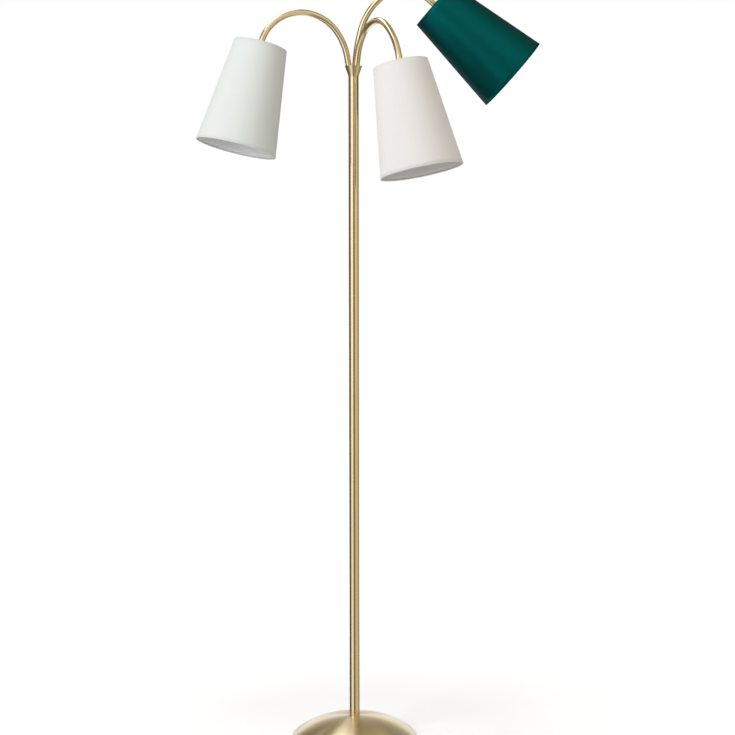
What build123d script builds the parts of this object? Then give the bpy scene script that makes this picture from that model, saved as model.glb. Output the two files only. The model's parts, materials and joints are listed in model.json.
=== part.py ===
from build123d import *
from math import atan, cos, degrees, radians, sqrt, tan
import os

# Tree floor lamp: a weighted dome base, one pole and three bendable arms with fabric shades.
# Millimetres, +Z up, +X to the lamp's right, +Y away from the viewer.
# The origin is the centre of the base's underside, on the floor.

os.makedirs("parts", exist_ok=True)

# Radial clearance of screwed and turning fits
fit = 0.05

# Base: a spun dome over a cast weight, standing on a felt disc
base_height = 39.2
cover_wall = 1.4
cover_seat_radius = 11
crown_radius = 220
crown_turn = 10.2
shoulder_radius = 150
shoulder_turn = 30.4
lip_radius = 2
lip_turn = 90 - crown_turn - shoulder_turn
felt_radius = 117
felt_thickness = 1.5
weight_radius = 112
weight_edge = 4
weight_slope = 16
weight_thickness = 13.5
boss_top_radius = 10
boss_root_radius = 24
recess_radius = 34
recess_depth = 12

# Where the cord enters, at the back of the base
inlet_radius = 5
inlet_bore = 3.2
inlet_length = 23
inlet_end = 121
inlet_gap = 0.1
inlet_height = felt_thickness + inlet_radius + inlet_gap
inlet_chamfer = 0.6
block_length = 22
block_width = 14
block_height = 9
block_corner = 1.5
block_centre = 23
block_pitch = 7
block_wire_radius = 1.8
block_screw_radius = 1.5

# Pole: two tubes of one diameter that meet flush over a hidden coupler
pole_radius = 10
pole_bore = 8.8
pole_joint = 662
stud_radius = 5
stud_bore = 3.6
stud_foot = 4
stud_length = 54
stud_chamfer = 0.8
washer_radius = 12
washer_thickness = 1.6
nut_width = 17
nut_height = 6
foot_bush_length = 22
coupler_bore = 7.2
coupler_length = 50

# Cup and hub that carry the three arms on top of the pole
cup_bottom = 1284
cup_flare_start = 1289.5
cup_blend_radius = 15
cup_rim = 1308.5
cup_rim_radius = 16.9
cup_wall = 0.6
cup_spigot = 10
cup_bore = 7.4
hub_top = 1306.3
hub_thickness = 8
hub_screw_radius = 2
hub_screw_head_radius = 3.5
hub_screw_head = 2.8
hub_screw_length = 36
hex_key = 2.5
screw_recess_gap = 0.1
screw_sink = 0.5
seat_height = 1305
seat_pitch_radius = 8.3
seat_lean = 12
spot_face_gap = 0.3
top_bush_length = 12
lead_hole_radius = 2
lead_hole_pitch = 5.6

# Arms: wound tube of 12 mm diameter, the same length in all three.
# Each leaves its leaning seat on the hub straight for one diameter, bends in tangent arcs,
# and runs straight again for one diameter into its lampholder.
# Values are the seat's bearing, then bends as (lean from upright at its end, bearing, radius).
neck_radius = 6
neck_groove_radius = 5.55
neck_shoulder_radius = 5.9
neck_bore = 3.5
neck_straight = 12
neck_tail = 6
neck_cuff = 2
neck_ribs = 64
rib_shoulder = 0.2
ferrule_collar = 2
ferrule_shank = 3.5
ferrule_shank_length = 6.4
spigot_radius = 3.2
spigot_length = 4.5
lead_bore = 2.3
arms = {
    "left": (190, ((8.2, 197, 52), (33.6, 197, 112), (149.4, 197, 86), (165.9, 197, 66))),
    "middle": (310, ((12.3, 297, 91), (120.2, 297, 76.5), (157.4, 297, 128), (168.2, 341, 52))),
    "right": (70, ((15.5, 347, 198), (49.6, 347, 113), (128.4, 347, 72.5), (130.8, 5, 64))),
}

# Shade: fabric laminated on a stiff liner, stretched between two wire hoops.
# Everything in a head is measured from the middle of its shade's top opening.
shade_top_radius = 51
shade_bottom_radius = 77.5
shade_height = 202
shade_wall = 1.2
hoop_width = 3.6
hoop_thickness = 1
hoop_inset = 2.4
spoke_radius = 1.25
spoke_count = 3
spoke_inset = 0.5
spoke_bearing = 30
carrier_top = 29.5
carrier_thickness = 1.6
carrier_bore = 14.3
carrier_radius = 20

# Lampholder for small screw-cap bulbs, mouth down on the end of the arm
nipple_collar_radius = 7
nipple_collar = 2
nipple_stud = 6
cap_radius = 15.2
cap_round = 6
cap_wall = 1.1
cap_boss = 3
cap_boss_radius = 8
cap_hollow_turn = 55
cap_mouth = 27
holder_top = 18
holder_radius = 14
holder_bore = 9.5
holder_flange_radius = 16.5
holder_flange = 2.5
holder_mouth = 56
holder_chamfer = 1
contact_top = 20
contact_bottom = 31
contact_radius = 9.4
contact_hole_pitch = 9
contact_hole_radius = 1.3
shell_wall = 0.8
shell_mouth = 50
shell_flange = 0.6
shell_eye_radius = 3.4
ring_nut_radius = 18.5
ring_nut_flats = 12
ring_nut_length = 6

# Bulb: frosted globe on a 14 mm screw cap
bulb_cap_radius = 7
bulb_tip_radius = 2.4
bulb_tip = 2
bulb_cap_end = 51
bulb_neck_radius = 8.3
globe_radius = 22.5
globe_centre = 78
glass_wall = 1


def write(piece, label):
    """Label a finished piece and save it under the same name."""
    piece.part.label = label
    export_step(piece.part, f"parts/{label}.step")


def aim(lean, bearing):
    """Direction leaning from upright towards a bearing, both in degrees."""
    return Vector(0, 0, 1).rotate(Axis.Y, lean).rotate(Axis.Z, bearing)


# ---- Base ----
with BuildPart() as base_cover:
    # The outside, then the hollow one wall further in
    for inset, mode in ((0, Mode.ADD), (cover_wall, Mode.SUBTRACT)):
        with BuildSketch(Plane.XZ):
            with BuildLine():
                top = base_height - inset
                seat = Line((0, top), (cover_seat_radius, top))
                crown = JernArc(seat @ 1, seat % 1, crown_radius - inset, -crown_turn)
                shoulder = JernArc(crown @ 1, crown % 1, shoulder_radius - inset, -shoulder_turn)
                lip = JernArc(shoulder @ 1, shoulder % 1, lip_radius - inset, -lip_turn)
                Polyline(lip @ 1, (0, (lip @ 1).Y), seat @ 0)
            make_face()
        revolve(axis=Axis.Z, mode=mode)
    with Locations((0, 0, base_height)):
        Hole(stud_radius + fit)
    # Notch in the rear edge, open downwards, that the inlet sleeve fills
    with BuildSketch(Plane.XZ.offset(-weight_radius - inlet_length)):
        with Locations((0, inlet_height)):
            Circle(inlet_radius + fit)
        with Locations((0, inlet_height / 2)):
            Rectangle(2 * (inlet_radius + fit), inlet_height)
    extrude(amount=2 * inlet_length, mode=Mode.SUBTRACT)
write(base_cover, "base_cover")

weight_top = felt_thickness + weight_thickness
boss_top = base_height - cover_wall
recess_roof = felt_thickness + recess_depth
with BuildPart() as base_weight:
    with BuildSketch(Plane.XZ):
        with BuildLine():
            Polyline(
                (0, felt_thickness),
                (weight_radius, felt_thickness),
                (weight_radius, felt_thickness + weight_edge),
                (weight_radius - weight_slope, weight_top),
                (boss_root_radius, weight_top),
                (boss_top_radius, boss_top),
                (0, boss_top),
                close=True,
            )
        make_face()
    revolve(axis=Axis.Z)
    with BuildSketch(Plane.XY.offset(felt_thickness)):
        Circle(recess_radius)
    extrude(amount=recess_depth, mode=Mode.SUBTRACT)
    with Locations((0, 0, boss_top)):
        Hole(stud_radius + fit)
    # Channel for the cord, from the recess to the rear edge
    with BuildSketch(Plane.XZ.offset(-weight_radius)):
        with Locations((0, inlet_height)):
            Circle(inlet_radius + fit)
        with Locations((0, inlet_height / 2)):
            Rectangle(2 * (inlet_radius + fit), inlet_height)
    extrude(amount=weight_radius - recess_radius + inlet_radius, mode=Mode.SUBTRACT)
write(base_weight, "base_weight")

with BuildPart() as base_felt:
    with BuildSketch():
        Circle(felt_radius)
    extrude(amount=felt_thickness)
write(base_felt, "base_felt")

with BuildPart() as cord_inlet:
    with BuildSketch(Plane.XZ.offset(-inlet_end)):
        with Locations((0, inlet_height)):
            Circle(inlet_radius)
            Circle(inlet_bore, mode=Mode.SUBTRACT)
    extrude(amount=inlet_length)
    mouth = cord_inlet.edges().group_by(Axis.Y)[-1].sort_by(SortBy.RADIUS)[-1]
    chamfer(mouth, length=inlet_chamfer)
write(cord_inlet, "cord_inlet")

with BuildPart() as terminal_block:
    with BuildSketch(Plane.XY.offset(recess_roof - block_height)):
        with Locations((0, block_centre)):
            RectangleRounded(block_length, block_width, block_corner)
    extrude(amount=block_height)
    with BuildSketch(Plane.XZ.offset(-block_centre - block_width / 2)):
        with Locations((0, recess_roof - block_height / 2)):
            with GridLocations(block_pitch, 0, 3, 1):
                Circle(block_wire_radius)
    extrude(amount=block_width, mode=Mode.SUBTRACT)
    with BuildSketch(Plane.XY.offset(recess_roof - block_height)):
        with Locations((0, block_centre)):
            with GridLocations(block_pitch, block_pitch, 3, 2):
                Circle(block_screw_radius)
    extrude(amount=block_height / 2, mode=Mode.SUBTRACT)
write(terminal_block, "terminal_block")

with BuildPart() as foot_washer:
    with BuildSketch(Plane.XY.offset(recess_roof)):
        Circle(washer_radius)
        Circle(stud_radius + fit, mode=Mode.SUBTRACT)
    extrude(amount=-washer_thickness)
write(foot_washer, "foot_washer")

with BuildPart() as foot_nut:
    with BuildSketch(Plane.XY.offset(recess_roof - washer_thickness)):
        RegularPolygon(radius=nut_width / 2, side_count=6, major_radius=False)
        Circle(stud_radius + fit, mode=Mode.SUBTRACT)
    extrude(amount=-nut_height)
write(foot_nut, "foot_nut")

with BuildPart() as foot_stud:
    with BuildSketch(Plane.XY.offset(stud_foot)):
        Circle(stud_radius)
        Circle(stud_bore, mode=Mode.SUBTRACT)
    extrude(amount=stud_length)
    point = foot_stud.edges().group_by(Axis.Z)[-1].sort_by(SortBy.RADIUS)[-1]
    chamfer(point, length=stud_chamfer)
write(foot_stud, "foot_stud")

# ---- Pole ----
with BuildPart() as foot_bush:
    with BuildSketch(Plane.XY.offset(base_height)):
        Circle(pole_bore - fit)
        Circle(stud_radius + fit, mode=Mode.SUBTRACT)
    extrude(amount=foot_bush_length)
write(foot_bush, "foot_bush")

for label, low, high in (
    ("lower_pole", base_height, pole_joint),
    ("upper_pole", pole_joint, cup_bottom),
):
    with BuildPart() as pole:
        with BuildSketch(Plane.XY.offset(low)):
            Circle(pole_radius)
            Circle(pole_bore, mode=Mode.SUBTRACT)
        extrude(amount=high - low)
    write(pole, label)

with BuildPart() as pole_coupler:
    with BuildSketch(Plane.XY.offset(pole_joint - coupler_length / 2)):
        Circle(pole_bore - fit)
        Circle(coupler_bore, mode=Mode.SUBTRACT)
    extrude(amount=coupler_length)
write(pole_coupler, "pole_coupler")

# ---- Cup and hub ----
flare = (cup_rim_radius - pole_radius) / (cup_rim - cup_flare_start)


def cup_inside(height):
    """Radius of the cup's inner cone at a height."""
    return pole_radius - cup_wall + flare * (height - cup_flare_start)


cup_floor = cup_flare_start - (pole_radius - cup_wall - cup_bore) / flare
spigot_foot = cup_bottom - cup_spigot
with BuildPart() as arm_cup:
    with BuildSketch(Plane.XZ) as cup_wall_section:
        with BuildLine():
            Polyline(
                (cup_bore, spigot_foot),
                (pole_bore - fit, spigot_foot),
                (pole_bore - fit, cup_bottom),
                (pole_radius, cup_bottom),
                (pole_radius, cup_flare_start),
                (cup_rim_radius, cup_rim),
                (cup_inside(cup_rim), cup_rim),
                (cup_bore, cup_floor),
                close=True,
            )
        make_face()
        bend = cup_wall_section.vertices().sort_by_distance((pole_radius, cup_flare_start))[0]
        fillet(bend, cup_blend_radius)
    revolve(axis=Axis.Z)
write(arm_cup, "arm_cup")

hub_bottom = hub_top - hub_thickness


def seat_plane(bearing):
    """Plane of an arm's seat: it leans outwards at its bearing, +Z out along the neck."""
    middle = aim(90, bearing) * seat_pitch_radius + Vector(0, 0, seat_height)
    return Plane(origin=middle, z_dir=aim(seat_lean, bearing))


seats = [seat_plane(bearing) for bearing, bends in arms.values()]
with BuildPart() as arm_hub:
    with BuildSketch(Plane.XZ):
        with BuildLine():
            Polyline(
                (0, hub_bottom),
                (cup_inside(hub_bottom) - fit, hub_bottom),
                (cup_inside(hub_top) - fit, hub_top),
                (0, hub_top),
                close=True,
            )
        make_face()
    revolve(axis=Axis.Z)
    with Locations((0, 0, hub_top)):
        CounterBoreHole(
            radius=hub_screw_radius + fit,
            counter_bore_radius=hub_screw_head_radius + screw_recess_gap,
            counter_bore_depth=hub_screw_head + screw_sink,
        )
    # A spot face and a bore for each arm, square to the arm
    with BuildSketch(*seats):
        Circle(neck_radius + spot_face_gap)
    extrude(amount=hub_thickness, mode=Mode.SUBTRACT)
    with BuildSketch(*seats):
        Circle(ferrule_shank + fit)
    extrude(amount=-2 * hub_thickness, mode=Mode.SUBTRACT)
write(arm_hub, "arm_hub")

screw_seat = hub_top - hub_screw_head - screw_sink
with BuildPart() as hub_screw:
    with BuildSketch(Plane.XY.offset(screw_seat)):
        Circle(hub_screw_head_radius)
    extrude(amount=hub_screw_head)
    with BuildSketch(Plane.XY.offset(screw_seat)):
        Circle(hub_screw_radius)
    extrude(amount=-hub_screw_length)
    with BuildSketch(Plane.XY.offset(screw_seat + hub_screw_head)):
        RegularPolygon(radius=hex_key / 2, side_count=6, major_radius=False)
    extrude(amount=-hub_screw_head / 2, mode=Mode.SUBTRACT)
write(hub_screw, "hub_screw")

with BuildPart() as top_bush:
    with BuildSketch(Plane.XY.offset(spigot_foot)):
        Circle(pole_bore - fit)
        Circle(hub_screw_radius + fit, mode=Mode.SUBTRACT)
        with PolarLocations(lead_hole_pitch, 3):
            Circle(lead_hole_radius, mode=Mode.SUBTRACT)
    extrude(amount=-top_bush_length)
write(top_bush, "top_bush")


# ---- Arms ----
def build_arm(side, bearing, bends):
    """Ferrule, wound neck and nipple of one arm. Returns its head's plane, +Z up the neck."""
    seat = seat_plane(bearing)
    ferrule_foot = seat.offset(-ferrule_shank_length)
    neck_foot = seat.offset(ferrule_collar)

    with BuildPart() as ferrule:
        with BuildSketch(ferrule_foot):
            Circle(ferrule_shank)
        extrude(amount=ferrule_shank_length)
        with BuildSketch(seat):
            Circle(neck_radius)
        extrude(amount=ferrule_collar)
        with BuildSketch(neck_foot):
            Circle(spigot_radius)
        extrude(amount=spigot_length)
        with BuildSketch(ferrule_foot):
            Circle(lead_bore)
        extrude(amount=ferrule_shank_length + ferrule_collar + spigot_length, mode=Mode.SUBTRACT)
    write(ferrule, f"{side}_ferrule")

    with BuildLine() as route:
        run = Line(neck_foot.origin, neck_foot.origin + neck_foot.z_dir * neck_straight)
        end, heading = run @ 1, run % 1
        for lean, turn_bearing, radius in bends:
            turned = aim(lean, turn_bearing)
            reach = radius * tan(radians(heading.get_angle(turned)) / 2)
            bend = TangentArc(end, end + (heading + turned) * reach, tangent=heading)
            end, heading = bend @ 1, bend % 1
        Line(end, end + heading * neck_straight)
    path = route.wires()[0]
    shade_middle = path @ 1 - heading * neck_tail
    print(f"{side} neck: {path.length - neck_tail:.1f} mm to the shade")

    # Ribs of the wound tube: a groove, a shoulder, a crest and a shoulder in each
    rib_pitch = (path.length - 2 * neck_cuff) / neck_ribs
    rings = [(0, neck_groove_radius)]
    for rib in range(neck_ribs):
        foot = neck_cuff + rib * rib_pitch
        rings += [
            (foot, neck_groove_radius),
            (foot + rib_shoulder * rib_pitch, neck_shoulder_radius),
            (foot + rib_pitch / 2, neck_radius),
            (foot + (1 - rib_shoulder) * rib_pitch, neck_shoulder_radius),
        ]
    rings += [(path.length - neck_cuff, neck_groove_radius), (path.length, neck_groove_radius)]
    across = aim(90, bends[1][1] + 90)
    with BuildPart() as gooseneck:
        for distance, radius in rings:
            place = path.position_at(distance, position_mode=PositionMode.LENGTH)
            along = path.tangent_at(distance, position_mode=PositionMode.LENGTH)
            with BuildSketch(Plane(origin=place, x_dir=across, z_dir=along)):
                Circle(radius)
        loft(ruled=True)
        with BuildSketch(neck_foot):
            Circle(neck_bore)
        sweep(path=path, mode=Mode.SUBTRACT)
    write(gooseneck, f"{side}_gooseneck")

    level = Vector(0, 0, 1).cross(heading)
    head = Plane(origin=shade_middle, x_dir=level, z_dir=-heading)
    neck_end = head.offset(-neck_tail)
    with BuildPart() as nipple:
        with BuildSketch(neck_end):
            Circle(spigot_radius)
        extrude(amount=spigot_length)
        with BuildSketch(neck_end):
            Circle(nipple_collar_radius)
        extrude(amount=-nipple_collar)
        with BuildSketch(neck_end.offset(-nipple_collar)):
            Circle(stud_radius)
        extrude(amount=-nipple_stud)
        with BuildSketch(neck_end.offset(spigot_length)):
            Circle(lead_bore)
        extrude(amount=-(spigot_length + nipple_collar + nipple_stud), mode=Mode.SUBTRACT)
    write(nipple, f"{side}_nipple")
    return head


# ---- Heads ----
def build_head(side, head):
    """Lampholder, shade and bulb of one arm, drawn in a section through the head's axis."""
    section = Plane(origin=head.origin, x_dir=head.x_dir, z_dir=-head.y_dir)
    axis = Axis(head.origin, head.z_dir)
    cap_top = neck_tail + nipple_collar

    with BuildPart() as holder_cap:
        with BuildSketch(section):
            with BuildLine():
                roof = Line((stud_radius + fit, -cap_top), (cap_radius - cap_round, -cap_top))
                rounded = JernArc(roof @ 1, roof % 1, cap_round, -90)
                skirt = Line(rounded @ 1, (cap_radius, -cap_mouth))
                inner_radius = cap_radius - cap_wall
                inner_round = cap_round - cap_wall
                rim = Line(skirt @ 1, (inner_radius, -cap_mouth))
                wall = Line(rim @ 1, (inner_radius, -cap_top - cap_round))
                hollow = JernArc(wall @ 1, (0, 1), inner_round, cap_hollow_turn)
                Polyline(
                    hollow @ 1,
                    (cap_boss_radius, -cap_top - cap_boss),
                    (stud_radius + fit, -cap_top - cap_boss),
                    roof @ 0,
                )
            make_face()
        revolve(axis=axis)
    write(holder_cap, f"{side}_holder_cap")

    flange_top = cap_mouth
    flange_bottom = flange_top + holder_flange
    with BuildPart() as lampholder:
        with BuildSketch(section):
            with BuildLine():
                Polyline(
                    (holder_bore, -holder_top),
                    (holder_radius, -holder_top),
                    (holder_radius, -flange_top),
                    (holder_flange_radius, -flange_top),
                    (holder_flange_radius, -flange_bottom),
                    (holder_radius, -flange_bottom),
                    (holder_radius, -holder_mouth + holder_chamfer),
                    (holder_radius - holder_chamfer, -holder_mouth),
                    (holder_bore, -holder_mouth),
                    close=True,
                )
            make_face()
        revolve(axis=axis)
    write(lampholder, f"{side}_lampholder")

    with BuildPart() as contact_block:
        with BuildSketch(head.offset(-contact_top)):
            Circle(contact_radius)
            with GridLocations(contact_hole_pitch, 0, 2, 1):
                Circle(contact_hole_radius, mode=Mode.SUBTRACT)
        extrude(amount=-(contact_bottom - contact_top))
        with BuildSketch(head.offset(-contact_bottom)):
            Circle(bulb_tip_radius)
        extrude(amount=-shell_flange)
    write(contact_block, f"{side}_contact_block")

    shell_bore = bulb_cap_radius + fit
    with BuildPart() as screw_shell:
        with BuildSketch(section):
            with BuildLine():
                Polyline(
                    (shell_eye_radius, -contact_bottom),
                    (contact_radius, -contact_bottom),
                    (contact_radius, -contact_bottom - shell_flange),
                    (shell_bore + shell_wall, -contact_bottom - shell_flange),
                    (shell_bore + shell_wall, -shell_mouth),
                    (shell_bore, -shell_mouth),
                    (shell_bore, -contact_bottom - shell_flange),
                    (shell_eye_radius, -contact_bottom - shell_flange),
                    close=True,
                )
            make_face()
        revolve(axis=axis)
    write(screw_shell, f"{side}_screw_shell")

    carrier_bottom = carrier_top + carrier_thickness
    widening = (shade_bottom_radius - shade_top_radius) / shade_height
    wall_angle = degrees(atan(widening))
    wall_inset = shade_wall / cos(atan(widening))
    hoop_gap = wall_inset + fit + hoop_thickness / 2

    def hoop_centre(drop):
        """Middle of a strip hoop that lies against the inside of the shade."""
        return (shade_top_radius + widening * drop - hoop_gap, -drop)

    with BuildPart() as shade_carrier:
        with BuildSketch(head.offset(-carrier_top)):
            Circle(carrier_radius)
            Circle(carrier_bore, mode=Mode.SUBTRACT)
        extrude(amount=-carrier_thickness)
        with BuildSketch(section):
            with Locations(hoop_centre(hoop_inset)):
                Rectangle(hoop_thickness, hoop_width, rotation=wall_angle)
        revolve(axis=axis)
        hoop_middle, hoop_level = hoop_centre(hoop_inset)
        spoke_root = Vector(carrier_radius - spoke_inset, 0, -carrier_top - carrier_thickness / 2)
        spoke_tip = Vector(hoop_middle, 0, hoop_level)
        for k in range(spoke_count):
            turn = spoke_bearing + k * 360 / spoke_count
            root = head.from_local_coords(spoke_root.rotate(Axis.Z, turn))
            tip = head.from_local_coords(spoke_tip.rotate(Axis.Z, turn))
            with BuildSketch(Plane(origin=root, z_dir=tip - root)):
                Circle(spoke_radius)
            extrude(amount=(tip - root).length - hoop_thickness / 2)
    write(shade_carrier, f"{side}_shade_carrier")

    with BuildPart() as ring_nut:
        with BuildSketch(head.offset(-carrier_bottom)):
            RegularPolygon(radius=ring_nut_radius, side_count=ring_nut_flats)
            Circle(holder_radius + fit, mode=Mode.SUBTRACT)
        extrude(amount=-ring_nut_length)
    write(ring_nut, f"{side}_ring_nut")

    with BuildPart() as shade:
        with BuildSketch(section):
            with BuildLine():
                Polyline(
                    (shade_top_radius, 0),
                    (shade_bottom_radius, -shade_height),
                    (shade_bottom_radius - wall_inset, -shade_height),
                    (shade_top_radius - wall_inset, 0),
                    close=True,
                )
            make_face()
        revolve(axis=axis)
    write(shade, f"{side}_shade")

    with BuildPart() as bottom_hoop:
        with BuildSketch(section):
            with Locations(hoop_centre(shade_height - hoop_inset)):
                Rectangle(hoop_thickness, hoop_width, rotation=wall_angle)
        revolve(axis=axis)
    write(bottom_hoop, f"{side}_bottom_hoop")

    tip_top = contact_bottom + shell_flange
    with BuildPart() as bulb_cap:
        with BuildSketch(head.offset(-tip_top)):
            Circle(bulb_tip_radius)
        extrude(amount=-bulb_tip)
        with BuildSketch(head.offset(-tip_top - bulb_tip)):
            Circle(bulb_cap_radius)
        extrude(amount=-(bulb_cap_end - tip_top - bulb_tip))
    write(bulb_cap, f"{side}_bulb_cap")

    globe_bottom = globe_centre + globe_radius
    neck_drop = globe_centre - sqrt(globe_radius**2 - bulb_neck_radius**2)
    cavity_radius = globe_radius - glass_wall
    inner_neck = bulb_neck_radius - glass_wall
    with BuildPart() as bulb:
        with BuildSketch(section):
            with BuildLine():
                outside = ThreePointArc(
                    (bulb_neck_radius, -neck_drop), (globe_radius, -globe_centre), (0, -globe_bottom)
                )
                inside = ThreePointArc(
                    (0, -globe_bottom + glass_wall),
                    (cavity_radius, -globe_centre),
                    (inner_neck, -globe_centre + sqrt(cavity_radius**2 - inner_neck**2)),
                )
                Line(outside @ 1, inside @ 0)
                Polyline(
                    inside @ 1,
                    (inner_neck, -bulb_cap_end),
                    (bulb_neck_radius, -bulb_cap_end),
                    outside @ 0,
                )
            make_face()
        revolve(axis=axis)
    write(bulb, f"{side}_bulb")


for side, (bearing, bends) in arms.items():
    build_head(side, build_arm(side, bearing, bends))
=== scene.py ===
import bpy
import json
import math
from mathutils import Matrix, Vector


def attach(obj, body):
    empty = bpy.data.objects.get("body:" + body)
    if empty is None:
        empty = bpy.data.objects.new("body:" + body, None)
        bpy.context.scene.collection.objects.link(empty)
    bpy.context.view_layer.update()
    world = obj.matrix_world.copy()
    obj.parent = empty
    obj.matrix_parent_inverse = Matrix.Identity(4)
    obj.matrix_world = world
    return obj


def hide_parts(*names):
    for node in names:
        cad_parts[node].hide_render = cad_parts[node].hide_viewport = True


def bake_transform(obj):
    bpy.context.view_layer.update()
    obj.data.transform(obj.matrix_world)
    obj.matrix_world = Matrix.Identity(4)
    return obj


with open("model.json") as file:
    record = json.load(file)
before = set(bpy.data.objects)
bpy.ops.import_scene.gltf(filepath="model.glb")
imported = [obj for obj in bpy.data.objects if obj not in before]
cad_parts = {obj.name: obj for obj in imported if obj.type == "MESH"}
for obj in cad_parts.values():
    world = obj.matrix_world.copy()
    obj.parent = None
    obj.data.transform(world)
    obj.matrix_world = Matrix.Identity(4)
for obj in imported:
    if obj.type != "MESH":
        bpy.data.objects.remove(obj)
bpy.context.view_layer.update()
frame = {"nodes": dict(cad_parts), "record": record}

# Tree floor lamp: satin brass base, pole and wound necks, with three stretched fabric shades.
# Metres throughout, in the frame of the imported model: +Z up, +Y away from the camera.
mm = 0.001
scene = bpy.context.scene
nodes = frame["nodes"]
sides = ("left", "middle", "right")
print("frame loaded,", len(nodes), "nodes")


# Node tree helpers
def wire(tree, socket, value):
    if isinstance(value, bpy.types.NodeSocket):
        tree.links.new(value, socket)
    else:
        socket.default_value = value


def addNode(tree, kind, feeds=(), **settings):
    node = tree.nodes.new(kind)
    for name, value in settings.items():
        setattr(node, name, value)
    for key, value in dict(feeds).items():
        wire(tree, node.inputs[key], value)
    return node


def calc(tree, operation, a, b=0.0):
    return addNode(tree, "ShaderNodeMath", {0: a, 1: b}, operation=operation).outputs[0]


def spread(tree, value, toLow, toHigh, fromLow=0.0, fromHigh=1.0):
    ends = {"Value": value, "From Min": fromLow, "From Max": fromHigh, "To Min": toLow, "To Max": toHigh}
    return addNode(tree, "ShaderNodeMapRange", ends).outputs[0]


def blendColour(tree, factor, low, high):
    feeds = {0: factor, 6: low, 7: high}
    return addNode(tree, "ShaderNodeMix", feeds, data_type="RGBA").outputs[2]


def stretched(tree, source, scale):
    return addNode(tree, "ShaderNodeMapping", {"Vector": source, "Scale": scale}).outputs[0]


def noise(tree, vector, scale, detail=3.0, roughness=0.5):
    feeds = {"Vector": vector, "Scale": scale, "Detail": detail, "Roughness": roughness}
    return addNode(tree, "ShaderNodeTexNoise", feeds).outputs[0]


def bump(tree, height, distance, strength=1.0):
    feeds = {"Height": height, "Distance": distance, "Strength": strength}
    return addNode(tree, "ShaderNodeBump", feeds).outputs[0]


def objectPlace(tree):
    return addNode(tree, "ShaderNodeTexCoord").outputs["Object"]


def bareTree(owner):
    owner.use_nodes = True
    owner.node_tree.nodes.clear()
    return owner.node_tree


def newMaterial(name):
    made = bpy.data.materials.new(name)
    tree = bareTree(made)
    shader = addNode(tree, "ShaderNodeBsdfPrincipled")
    addNode(tree, "ShaderNodeOutputMaterial", {"Surface": shader.outputs[0]})
    return made, tree, shader


# Camera, where the photograph was taken from; angles in degrees
cameraView = {
    "lens": 79.64,
    "sensor": 36,
    "reach": 60,
    "place": (0.02626, -3.170, 0.890),
    "down": 2.975,
    "roll": -0.0757,
}
cameraData = bpy.data.cameras.new("camera")
cameraData.lens = cameraView["lens"]
cameraData.sensor_width = cameraView["sensor"]
cameraData.clip_end = cameraView["reach"]
camera = bpy.data.objects.new("camera", cameraData)
scene.collection.objects.link(camera)
tiltDown = Matrix.Rotation(math.radians(90 - cameraView["down"]), 4, "X")
rollOver = Matrix.Rotation(math.radians(cameraView["roll"]), 4, "Z")
camera.matrix_world = Matrix.Translation(cameraView["place"]) @ tiltDown @ rollOver
scene.camera = camera
scene.view_settings.view_transform = "Standard"
print("camera placed")

# Studio: white surroundings, a pale floor, soft lights and cards that the brass mirrors.
# The floor glows between nearGlow and farGlow as it goes from nearReach to farReach.
studio = {
    "ambient": 0.34,
    "ambientColour": (1, 0.985, 0.92, 1),
    "white": (1, 1, 1, 1),
    "floorWidth": 16.0,
    "floorGrain": 6.0,
    "floorDark": (0.90, 0.90, 0.90, 1),
    "floorLight": (0.93, 0.93, 0.93, 1),
    "nearGlow": 0.36,
    "farGlow": 0.72,
    "nearReach": 0.3,
    "farReach": 1.4,
}


def seenDirectly(tree):
    path = addNode(tree, "ShaderNodeLightPath")
    seen = calc(tree, "MAXIMUM", path.outputs["Is Camera Ray"], path.outputs["Is Glossy Ray"])
    return calc(tree, "MAXIMUM", seen, path.outputs["Is Transmission Ray"])


world = bpy.data.worlds.new("studio")
scene.world = world
worldTree = bareTree(world)
ambientFeeds = {"Color": studio["ambientColour"], "Strength": studio["ambient"]}
ambient = addNode(worldTree, "ShaderNodeBackground", ambientFeeds)
backdrop = addNode(worldTree, "ShaderNodeBackground", {"Color": studio["white"], "Strength": 1.0})
worldFeeds = {0: seenDirectly(worldTree), 1: ambient.outputs[0], 2: backdrop.outputs[0]}
worldMix = addNode(worldTree, "ShaderNodeMixShader", worldFeeds)
addNode(worldTree, "ShaderNodeOutputWorld", {"Surface": worldMix.outputs[0]})


def meshObject(name, points, faces, material):
    mesh = bpy.data.meshes.new(name)
    mesh.from_pydata(points, [], faces)
    mesh.update()
    mesh.materials.append(material)
    made = bpy.data.objects.new(name, mesh)
    scene.collection.objects.link(made)
    return made


floorMaterial = bpy.data.materials.new("paleFloor")
floorTree = bareTree(floorMaterial)
floorPlace = objectPlace(floorTree)
floorGrain = noise(floorTree, floorPlace, studio["floorGrain"])
floorColour = blendColour(floorTree, floorGrain, studio["floorDark"], studio["floorLight"])
floorMatt = addNode(floorTree, "ShaderNodeBsdfDiffuse", {"Color": floorColour})
floorLength = addNode(floorTree, "ShaderNodeVectorMath", {0: floorPlace}, operation="LENGTH")
floorReach = floorLength.outputs["Value"]
glowEnds = (studio["nearGlow"], studio["farGlow"], studio["nearReach"], studio["farReach"])
glowHere = spread(floorTree, floorReach, *glowEnds)
glowSeen = calc(floorTree, "MULTIPLY", seenDirectly(floorTree), glowHere)
floorGlow = addNode(floorTree, "ShaderNodeEmission", {"Color": studio["white"], "Strength": glowSeen})
floorBoth = addNode(floorTree, "ShaderNodeAddShader", {0: floorMatt.outputs[0], 1: floorGlow.outputs[0]})
addNode(floorTree, "ShaderNodeOutputMaterial", {"Surface": floorBoth.outputs[0]})
half = studio["floorWidth"] / 2
floorCorners = [(-half, -half, 0), (half, -half, 0), (half, half, 0), (-half, half, 0)]
floor = meshObject("floor", floorCorners, [(0, 1, 2, 3)], floorMaterial)

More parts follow.
